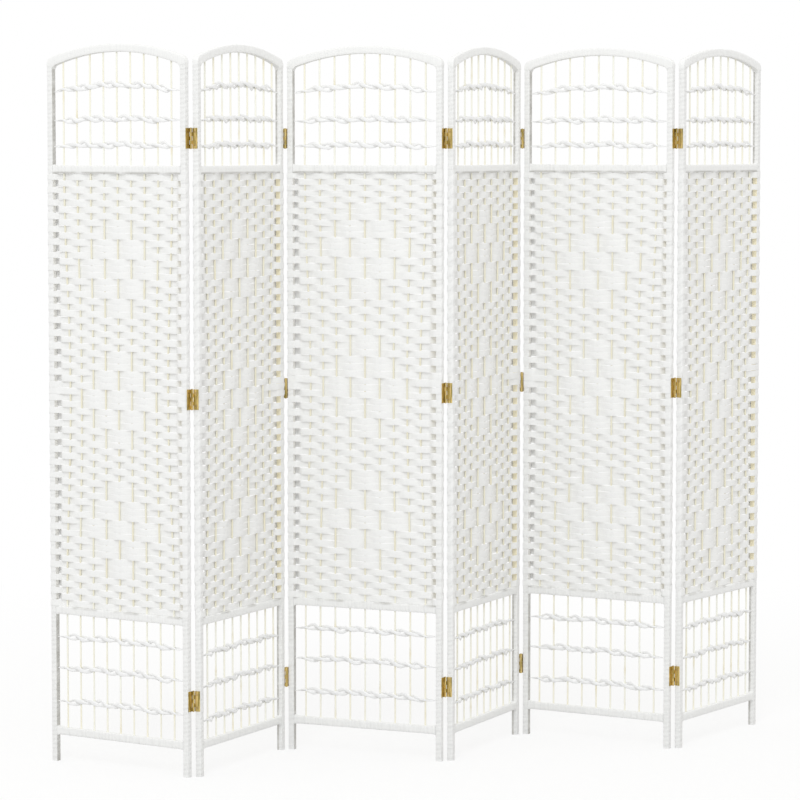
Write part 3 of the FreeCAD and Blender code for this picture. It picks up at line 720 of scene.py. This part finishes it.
LOT_TONES = (0.35, 0.65)
LOT_STRENGTH = 0.3
LAST_WARP = STICK_COUNT + 1
MIDDLE_WARP = LAST_WARP / 2


def course_lines(number):
    """Heights of the lines between a panel's courses, from the upper rail down to the lower one.

    The pitch is a little uneven, so the middles of the three diamonds lie off their even places."""
    count = COURSE_COUNTS[number - 1]
    lines = np.arange(count + 1)
    even = UPPER_RAIL_FOOT - lines * WEAVE_HEIGHT / count
    middle_row = len(DIAMOND_REACH) // 2 * DIAMOND_ROW - 0.5
    middles = FIRST_DIAMONDS[number - 1] + middle_row + DIAMOND_SPACING * np.arange(DIAMOND_COUNT)
    knots = np.concatenate(([0], middles, [count]))
    return even + np.interp(lines, knots, (0, *DIAMOND_DRIFTS[number - 1], 0)) * MM


def diamond_reach(number, course):
    """Sticks each side of the middle one that a panel's diamond covers on a course, or -1."""
    diamond, offset = divmod(course - FIRST_DIAMONDS[number - 1], DIAMOND_SPACING)
    row, in_row = divmod(offset, DIAMOND_ROW)
    if 0 <= diamond < DIAMOND_COUNT and in_row == 0 and row < len(DIAMOND_REACH):
        return DIAMOND_REACH[row]
    return -1


def side_of(number, course, warp):
    """Whether a course passes before (-1) or behind (1) a warp; warps 0 and the last are the posts."""
    if course == SPLICE_COURSES[number - 1] and warp in (0, LAST_WARP):
        return -1
    behind = (course + warp) % 2 == 0
    if abs(warp - MIDDLE_WARP) <= diamond_reach(number, course):
        behind = not behind
    return 1 if behind else -1


def span_path(number, course, height):
    """Plan of a course between its two post corners: place along the panel and depth at each step.

    On odd panels the strips turn more sharply beside the posts."""
    knots = [POST] + [stick_place_at(stick, height) for stick in range(1, LAST_WARP)] + [PANEL_WIDTH - POST]
    sides = [side_of(number, course, warp) for warp in range(LAST_WARP + 1)]
    depths = [side * STICK_DEPTH for side in sides]
    depths[0] = sides[0] * POST_DEPTH
    depths[-1] = sides[-1] * POST_DEPTH
    places = list(np.linspace(POST_CORNER, POST, FACE_STEPS, endpoint=False))
    offsets = [depths[0]] * FACE_STEPS
    share = np.arange(SPAN_STEPS) / SPAN_STEPS
    for warp in range(LAST_WARP):
        quick = QUICK_TURN if warp in (0, LAST_WARP - 1) and number % 2 == 1 else 0
        start = FLAT_SHARE + (quick if warp else 0)
        eased = np.clip((share - start) / (1 - 2 * FLAT_SHARE - quick), 0, 1)
        eased = eased * eased * (3 - 2 * eased)
        float_side = sides[warp] if sides[warp] == sides[warp + 1] else 0
        places.extend(knots[warp] + share * (knots[warp + 1] - knots[warp]))
        bulge = FLOAT_BULGE * float_side * np.sin(np.pi * share)
        offsets.extend(depths[warp] + eased * (depths[warp + 1] - depths[warp]) + bulge)
    places.extend(np.linspace(PANEL_WIDTH - POST, PANEL_WIDTH - POST_CORNER, FACE_STEPS + 1))
    offsets.extend([depths[-1]] * (FACE_STEPS + 1))
    return np.array(places), np.array(offsets)


def wrap_path(side, reaches_side):
    """Plan of a strip's turn round the left post, from the middle of its side face to its corner.

    A strip that a hinge stops ends in short steps on the post's face instead."""
    if not reaches_side:
        places = POST_CORNER - STOPPED_STEP * np.arange(WRAP_STEPS, 0, -1)
        return places, np.full(WRAP_STEPS, side * POST_DEPTH), np.zeros(WRAP_STEPS)
    radius = POST_CORNER + STRIP_CLEAR
    depth = POST / 2 - POST_CORNER
    places = np.concatenate(([-STRIP_CLEAR] * 2, POST_CORNER - radius * np.cos(CORNER_ANGLES)))
    offsets = np.concatenate(([0, depth / 2], depth + radius * np.sin(CORNER_ANGLES)))
    return places, side * offsets, WRAP_RISES


def course_plan(number, course, high, low):
    """Place, depth and rise of a whole course between two lines, one entry for each step along the strip."""
    side = side_of(number, course, 0)
    at_hinge = any(low < middle + HINGE_HALF and high > middle - HINGE_HALF for middle in HINGE_HEIGHTS)
    places, offsets = span_path(number, course, (high + low) / 2)
    left_places, left_offsets, left_turn = wrap_path(side, not (at_hinge and number > 1))
    right_places, right_offsets, right_turn = wrap_path(side, not (at_hinge and number < len(PANELS)))
    places = np.concatenate((left_places, places, PANEL_WIDTH - right_places[::-1]))
    offsets = np.concatenate((left_offsets, offsets, right_offsets[::-1]))
    rise = np.zeros(len(places))
    rise[:WRAP_STEPS] = side * left_turn * (high - low) / 2
    rise[-WRAP_STEPS:] = -side * right_turn[::-1] * (high - low) / 2
    return places, offsets, rise


def flat_strips(count):
    """A panel's courses as flat strips: a grid along x and y, arrayed a metre apart upwards."""
    stations = 2 * WRAP_STEPS + 2 * FACE_STEPS + LAST_WARP * SPAN_STEPS + 1
    bpy.ops.object.select_all(action="DESELECT")
    bpy.ops.mesh.primitive_grid_add(x_subdivisions=stations - 1, y_subdivisions=STRIP_ROWS, size=1)
    piece = bpy.context.object
    finish_with(piece, "ARRAY", count=count, use_relative_offset=False, use_constant_offset=True,
                constant_offset_displace=(0, 0, 1))
    flat = points_of(piece)
    station = np.rint((flat[:, 0] + 0.5) * (stations - 1)).astype(int)
    row = np.rint((flat[:, 1] + 0.5) * STRIP_ROWS).astype(int)
    return piece, np.rint(flat[:, 2]).astype(int), station, row


def weave_points(number, course, station, row):
    """Lays every strip of a panel through its sticks, and gives each point its place on its strip."""
    heights = course_lines(number)
    plans = [course_plan(number, each, heights[each - 1], heights[each]) for each in range(1, len(heights))]
    places, offsets, rises = [np.array(values) for values in zip(*plans)]
    along = places.mean(axis=0)
    seeds = 5000 * number + 3 * np.arange(len(heights))
    edges = np.array([wander(along, EDGE_WAVE, seed) for seed in seeds]) * EDGE_WANDER
    edges[0] = -RAIL_GAP
    edges[-1] = RAIL_GAP
    edges += heights[:, None]
    gaps = np.array([wander(along, GAP_WAVE, seed + 1) for seed in seeds]) * GAP_WANDER
    gaps = LEAST_GAP + np.maximum(gaps, 0)
    ripples = np.array([wander(along, WRINKLE_WAVE, seed + 2) for seed in seeds[1:]]) * WRINKLE
    tangent_x = np.gradient(places, axis=1)
    tangent_y = np.gradient(offsets, axis=1)
    length = np.hypot(tangent_x, tangent_y)
    travelled = np.cumsum(length, axis=1)
    across = row / STRIP_ROWS
    low = (edges[1:] + gaps[1:])[course, station]
    high = (edges[:-1] - gaps[:-1])[course, station]
    depth = offsets[course, station]
    middle = 2 * across - 1
    on_post = np.abs(depth) > ON_POST_DEPTH
    curl = EDGE_CURL * np.abs(middle) ** EDGE_CURL_POWER * np.where(on_post, EDGE_CURL_ON_POST, 1)
    ripple = ripples[course, station] * np.where(on_post, WRINKLE_ON_POST, 1)
    lift = PLEAT * np.where(row % 2 == 0, 1, -1) - curl * np.clip(depth / STICK_DEPTH, -1, 1)
    lift += ripple * (WRINKLE_LIFT + WRINKLE_TWIST * middle)
    normal_x = (-tangent_y / length)[course, station]
    normal_y = (tangent_x / length)[course, station]
    height = low + across * (high - low) + rises[course, station]
    points = np.column_stack((places[course, station] + normal_x * lift, depth + normal_y * lift, height))
    return points, np.column_stack((travelled[course, station], across * STRIP_WIDTH + course * STRIP_APART))


def set_strip_places(piece, on_strip):
    """Writes each point's place on its strip, in metres, to the piece's UV map, with the strips apart."""
    corners = np.empty(len(piece.data.loops), dtype=np.int32)
    piece.data.loops.foreach_get("vertex_index", corners)
    layer = piece.data.uv_layers[0]
    layer.data.foreach_set("uv", on_strip[corners].astype(np.float32).ravel())


def strip_material(name, paper_colour, shade_colour, strength):
    """Pleated white paper; every strip has a slightly different tone."""
    material, tree = new_material(name)
    place = node(tree, "ShaderNodeUVMap").outputs[0]
    colour, relief = pleated_paper(tree, place, paper_colour, shade_colour)
    tone = spread(tree, noise(tree, place, LOT_FINENESS, detail=0.0), *LOT_TONES, last=LOT_STRENGTH)
    colour = mix_colour(tree, tone, colour, shade_colour)
    close_material(tree, colour, relief, strength, PAPER_RELIEF, roughness=STRIP_ROUGHNESS)
    return material


WOVEN_STRIP = strip_material("paper_strip", STRIP_WHITE, STRIP_GREY, STRIP_BUMP)
for number in PANELS:
    weave, course, station, row = flat_strips(COURSE_COUNTS[number - 1])
    laid, on_strip = weave_points(number, course, station, row)
    move_points(weave, laid)
    set_strip_places(weave, on_strip)
    finish_with(weave, "SOLIDIFY", thickness=STRIP_THICKNESS, offset=0)
    smooth(weave, STRIP_CREASE)
    hand_over(weave, number, "woven_strips", WOVEN_STRIP, "paper_strip", "weave")


# Twined cords: three rows cross the open field under the weave and three the one above it.
# Two strands of loosely rolled paper twist round each other, one before and one behind every stick.
# They are pulled thin where they are tied to the posts, and part in a small loop in every second gap.
# For each row: its height, and how far it arches. The drop of the low rows is given for each panel.
CORD_HEIGHTS = [height * MM for height in (155, 239, 318, 1550, 1614, 1690)]
CORD_ARCHES = [rise * MM for rise in (6, 6, 6, 6, 6, 20)]
LOW_ROWS = 3
LOW_ROW_DROPS = [drop * MM for drop in (0, 18, 0, 10, 3, 8)]
STRAND_COUNT = 2 * len(CORD_HEIGHTS)
STRAND_RINGS = 180
STRAND_SIDES = 14
STRAND_SPACING = 10
STRAND_THICK = 1.7 * MM
STRAND_TIED = 0.8 * MM
STRAND_TALL = 5.6 * MM
STRAND_TWISTED = 3.8 * MM
TWIST_RISE = 3.2 * MM
LOOP_RISE = 2.4 * MM
TIE_REACH = 1.3 * STICK_PITCH
TIE_POWER = 1.5
PUFFS = ((0.25, 61 * MM), (0.12, 17 * MM))
FOLDS = 3
FOLD_DEPTH = 0.06
FOLD_TURN = 5
FOLD_WAVE = 33 * MM
STRAND_CLEAR = 0.3 * MM
STRAND_FULLNESS = 1.15
STRAND_REACH = STICK_RADIUS + STRAND_CLEAR + STRAND_FULLNESS * STRAND_THICK
CORD_WANDER = 3.5 * MM
CORD_WAVE = 130 * MM
CORD_END = POST + STRAND_CLEAR
CORD_CREASE = math.radians(60)
CORD_WHITE = (0.95, 0.95, 0.955, 1)
CORD_GREY = (0.82, 0.82, 0.83, 1)
CORD_BUMP = 0.45
SEEDS_PER_ROW = 20


def strand_points(along, angle, row, strand, seed):
    """Surface of one strand: along runs from 0 to 1 between the posts, angle goes round the strand."""
    place = CORD_END + along * (PANEL_WIDTH - 2 * CORD_END)
    stick = (place - stick_place(1)) / STICK_PITCH
    phase = np.pi * (stick + strand + row)
    from_post = np.minimum(place, PANEL_WIDTH - place) - POST
    slack = np.clip(from_post / TIE_REACH, 0, 1) ** TIE_POWER
    at_stick = np.cos(np.pi * stick) ** 2
    open_gap = 0.5 + 0.5 * np.cos(np.pi * (stick - 0.5 + row))
    puff = 1 + sum(share * wander(place, wave, seed + step) for step, (share, wave) in enumerate(PUFFS))
    tall = (STRAND_TWISTED + at_stick * (STRAND_TALL - STRAND_TWISTED)) * puff
    tall = STRAND_TIED + slack * (tall - STRAND_TIED)
    thick = STRAND_TIED + slack * (STRAND_THICK - STRAND_TIED)
    fold = 1 + FOLD_DEPTH * np.cos(FOLDS * angle + FOLD_TURN * wander(place, FOLD_WAVE, seed + 2))
    draw_in = np.clip(from_post / STICK_PITCH, 0, 1)
    rise = (TWIST_RISE + LOOP_RISE * open_gap) * draw_in
    line = wander(place, CORD_WAVE, 7000 + seed // SEEDS_PER_ROW) * CORD_WANDER * draw_in
    line += CORD_ARCHES[row] * (0.5 - (2 * place / PANEL_WIDTH - 1) ** 2)
    depth = STRAND_REACH * draw_in * np.cos(phase) + thick * fold * np.cos(angle)
    lift = rise * np.sin(phase) + tall * fold * np.sin(angle)
    return place, depth, CORD_HEIGHTS[row] + line + lift


CORD_PAPER = strip_material("paper_cord", CORD_WHITE, CORD_GREY, CORD_BUMP)
strands = ringed_rods(STRAND_SIDES, 1, STRAND_RINGS, STRAND_COUNT, STRAND_SPACING)
for number in PANELS:
    cords = copy_of(strands, "cords")
    rods = points_of(cords)
    order = np.rint(rods[:, 0] / STRAND_SPACING).astype(int)
    around = np.arctan2(rods[:, 1], rods[:, 0] - STRAND_SPACING * order)
    laid = np.empty_like(rods)
    for each in range(STRAND_COUNT):
        own = order == each
        row, strand = divmod(each, 2)
        seed = SEEDS_PER_ROW * (len(CORD_HEIGHTS) * number + row) + 5 * strand
        laid[own] = np.column_stack(strand_points(rods[own, 2], around[own], row, strand, seed))
    laid[order < 2 * LOW_ROWS, 2] -= LOW_ROW_DROPS[number - 1]
    move_points(cords, laid)
    set_strip_places(cords, np.column_stack((laid[:, 0], around * STRAND_TALL + order * STRIP_APART)))
    only(cords)
    bpy.ops.object.mode_set(mode="EDIT")
    bpy.ops.mesh.select_all(action="SELECT")
    bpy.ops.mesh.normals_make_consistent(inside=False)
    bpy.ops.object.mode_set(mode="OBJECT")
    smooth(cords, CORD_CREASE)
    hand_over(cords, number, "twined_cords", CORD_PAPER, "paper_cord", "twist_cords")
bpy.data.objects.remove(strands)


# Hinges: small pressed brass butt hinges, three at each joint, lacquered and a little tarnished.
# Two countersunk brass screws hold each leaf to its post, and a brass pin runs through the knuckles.
BRASS = (0.80, 0.61, 0.25, 1)
BRASS_TARNISH = (0.26, 0.20, 0.04, 1)
SCREW_BRASS = (0.66, 0.49, 0.22, 1)
SCREW_TARNISH = (0.30, 0.20, 0.09, 1)
PATCH_FINENESS = (420, 420, 28)
SCRATCH_FINENESS = (500, 500, 4000)
SCRATCH_SHARE = 0.3
TARNISH_TONES = (0.43, 0.60)
BRASS_ROUGHNESS = (0.16, 0.55)
BRASS_BUMP = 0.15
BRASS_RELIEF = 0.1 * MM


def tarnish_group():
    """Patches and fine scratches of tarnish on metal: its colour, roughness and height."""
    tree, given, result = make_group(
        "tarnish",
        [("Clean", "NodeSocketColor"), ("Tarnished", "NodeSocketColor")],
        [("Colour", "NodeSocketColor"), ("Roughness", "NodeSocketFloat"), ("Height", "NodeSocketFloat")])
    place = node(tree, "ShaderNodeTexCoord").outputs["Object"]
    patches = noise(tree, place, PATCH_FINENESS, detail=5.0)
    scratches = noise(tree, place, SCRATCH_FINENESS)
    joined = mix_values(tree, SCRATCH_SHARE, patches, scratches)
    amount = spread(tree, joined, *TARNISH_TONES)
    rough = spread(tree, joined, 0.0, 1.0, *BRASS_ROUGHNESS)
    colour = mix_colour(tree, amount, given.outputs["Clean"], given.outputs["Tarnished"])
    tree.links.new(colour, result.inputs["Colour"])
    tree.links.new(rough, result.inputs["Roughness"])
    tree.links.new(scratches, result.inputs["Height"])
    return tree


TARNISH = tarnish_group()


def brass_material(name, clean, tarnished):
    material, tree = new_material(name)
    worn = node(tree, "ShaderNodeGroup", node_tree=TARNISH)
    worn.inputs["Clean"].default_value = clean
    worn.inputs["Tarnished"].default_value = tarnished
    shader = close_material(tree, worn.outputs["Colour"], worn.outputs["Height"], BRASS_BUMP, BRASS_RELIEF,
                            metallic=1.0)
    tree.links.new(worn.outputs["Roughness"], shader.inputs["Roughness"])
    return material


def refinish(node_name, material):
    """Gives a carried-over node its material."""
    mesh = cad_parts[node_name].data
    mesh.materials.clear()
    mesh.materials.append(material)


HINGE_BRASS = brass_material("hinge_brass", BRASS, BRASS_TARNISH)
PIN_BRASS = brass_material("screw_brass", SCREW_BRASS, SCREW_TARNISH)
for number in PANELS:
    refinish(f"panel_{number}_hinge_leaves", HINGE_BRASS)
    refinish(f"panel_{number}_hinge_screws", PIN_BRASS)
for number in PANELS[:-1]:
    refinish(f"hinge_{number}_{number + 1}_pins", PIN_BRASS)
